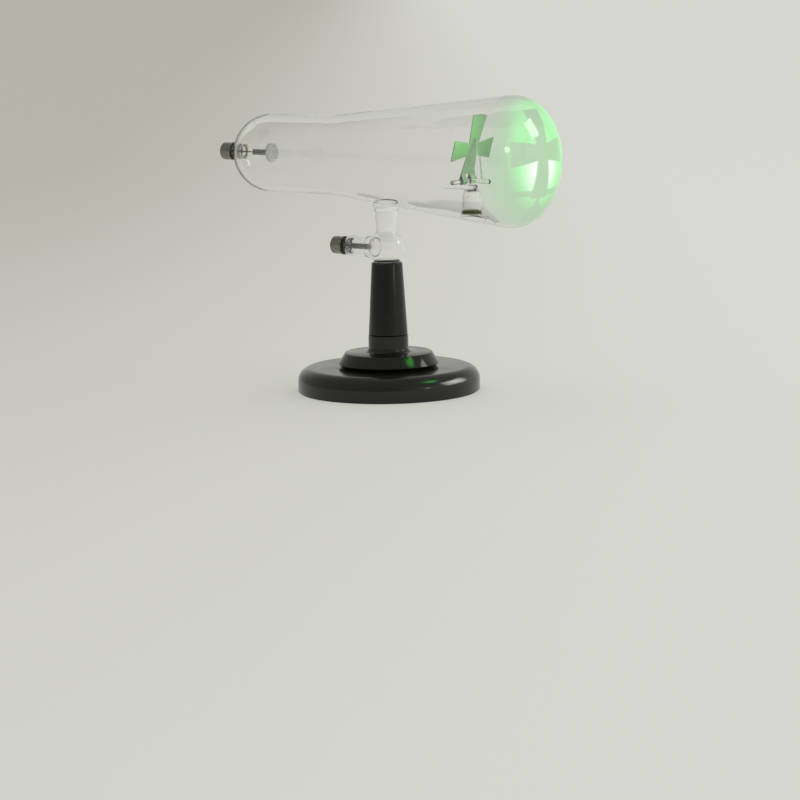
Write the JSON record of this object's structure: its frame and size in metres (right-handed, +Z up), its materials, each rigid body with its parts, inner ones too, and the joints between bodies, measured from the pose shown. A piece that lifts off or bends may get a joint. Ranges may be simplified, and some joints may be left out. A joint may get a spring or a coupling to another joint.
{
  "type": "crookes tube",
  "caption": "Cathode-ray shadow tube: glass bulb with a hinged metal cross inside, side electrode arm and cap, on a round black stand with a tapered column.",
  "frame": {"origin": "centre of the round base, on the plane that its pad rests on", "axes": "+X along the glass tube from the cathode towards the screen dome, +Y across it, away from the camera, +Z up"},
  "size_m": [0.2536, 0.116, 0.1893],
  "materials": {
    "black_resin": "polished black moulded resin",
    "pad_felt": "pressed felt, black",
    "plated_steel": "zinc plated",
    "insert_brass": "turned",
    "clear_glass": "clear blown glass",
    "cement": "set cement, dark, matt",
    "cap_nickel": "nickel plated sheet brass, slightly dulled",
    "solder": "soft solder, dull",
    "lead_wire": "drawn nickel-iron wire",
    "electrode_aluminium": "turned, satin",
    "cross_sheet": "rolled sheet, bright"
  },
  "bodies": {
    "instrument": {"base_pad": "pad_felt", "base_disc": "black_resin", "base_screw": "plated_steel", "screw_washer": "plated_steel", "threaded_insert": "insert_brass", "column_socket": "black_resin", "column": "black_resin", "glass_cement": "cement", "glass_bulb": "clear_glass", "pump_tip": "clear_glass", "glass_neck": "clear_glass", "side_arm": "clear_glass", "glass_envelope": "clear_glass", "cathode_cap": "cap_nickel", "cathode_cement": "cement", "cathode_solder": "solder", "cathode_wire": "lead_wire", "cathode_sleeve": "clear_glass", "cathode_rod": "electrode_aluminium", "cathode_disc": "electrode_aluminium", "anode_cap": "cap_nickel", "anode_cement": "cement", "anode_solder": "solder", "anode_wire": "lead_wire", "anode_rod": "electrode_aluminium", "cross_stem": "clear_glass", "rest_arm": "clear_glass", "hinge_post": "clear_glass", "hinge_bar": "clear_glass", "stop_arm": "clear_glass", "stop_rod": "clear_glass"},
    "cross": {"shadow_cross": "cross_sheet"}
  },
  "joints": [
    {"name": "cross_hinge", "type": "hinge", "parent": "instrument", "child": "cross", "pos_m": [0.0635, 0, 0.1359], "axis": [0, -1, 0], "range_deg": [0, 105.8]}
  ]
}
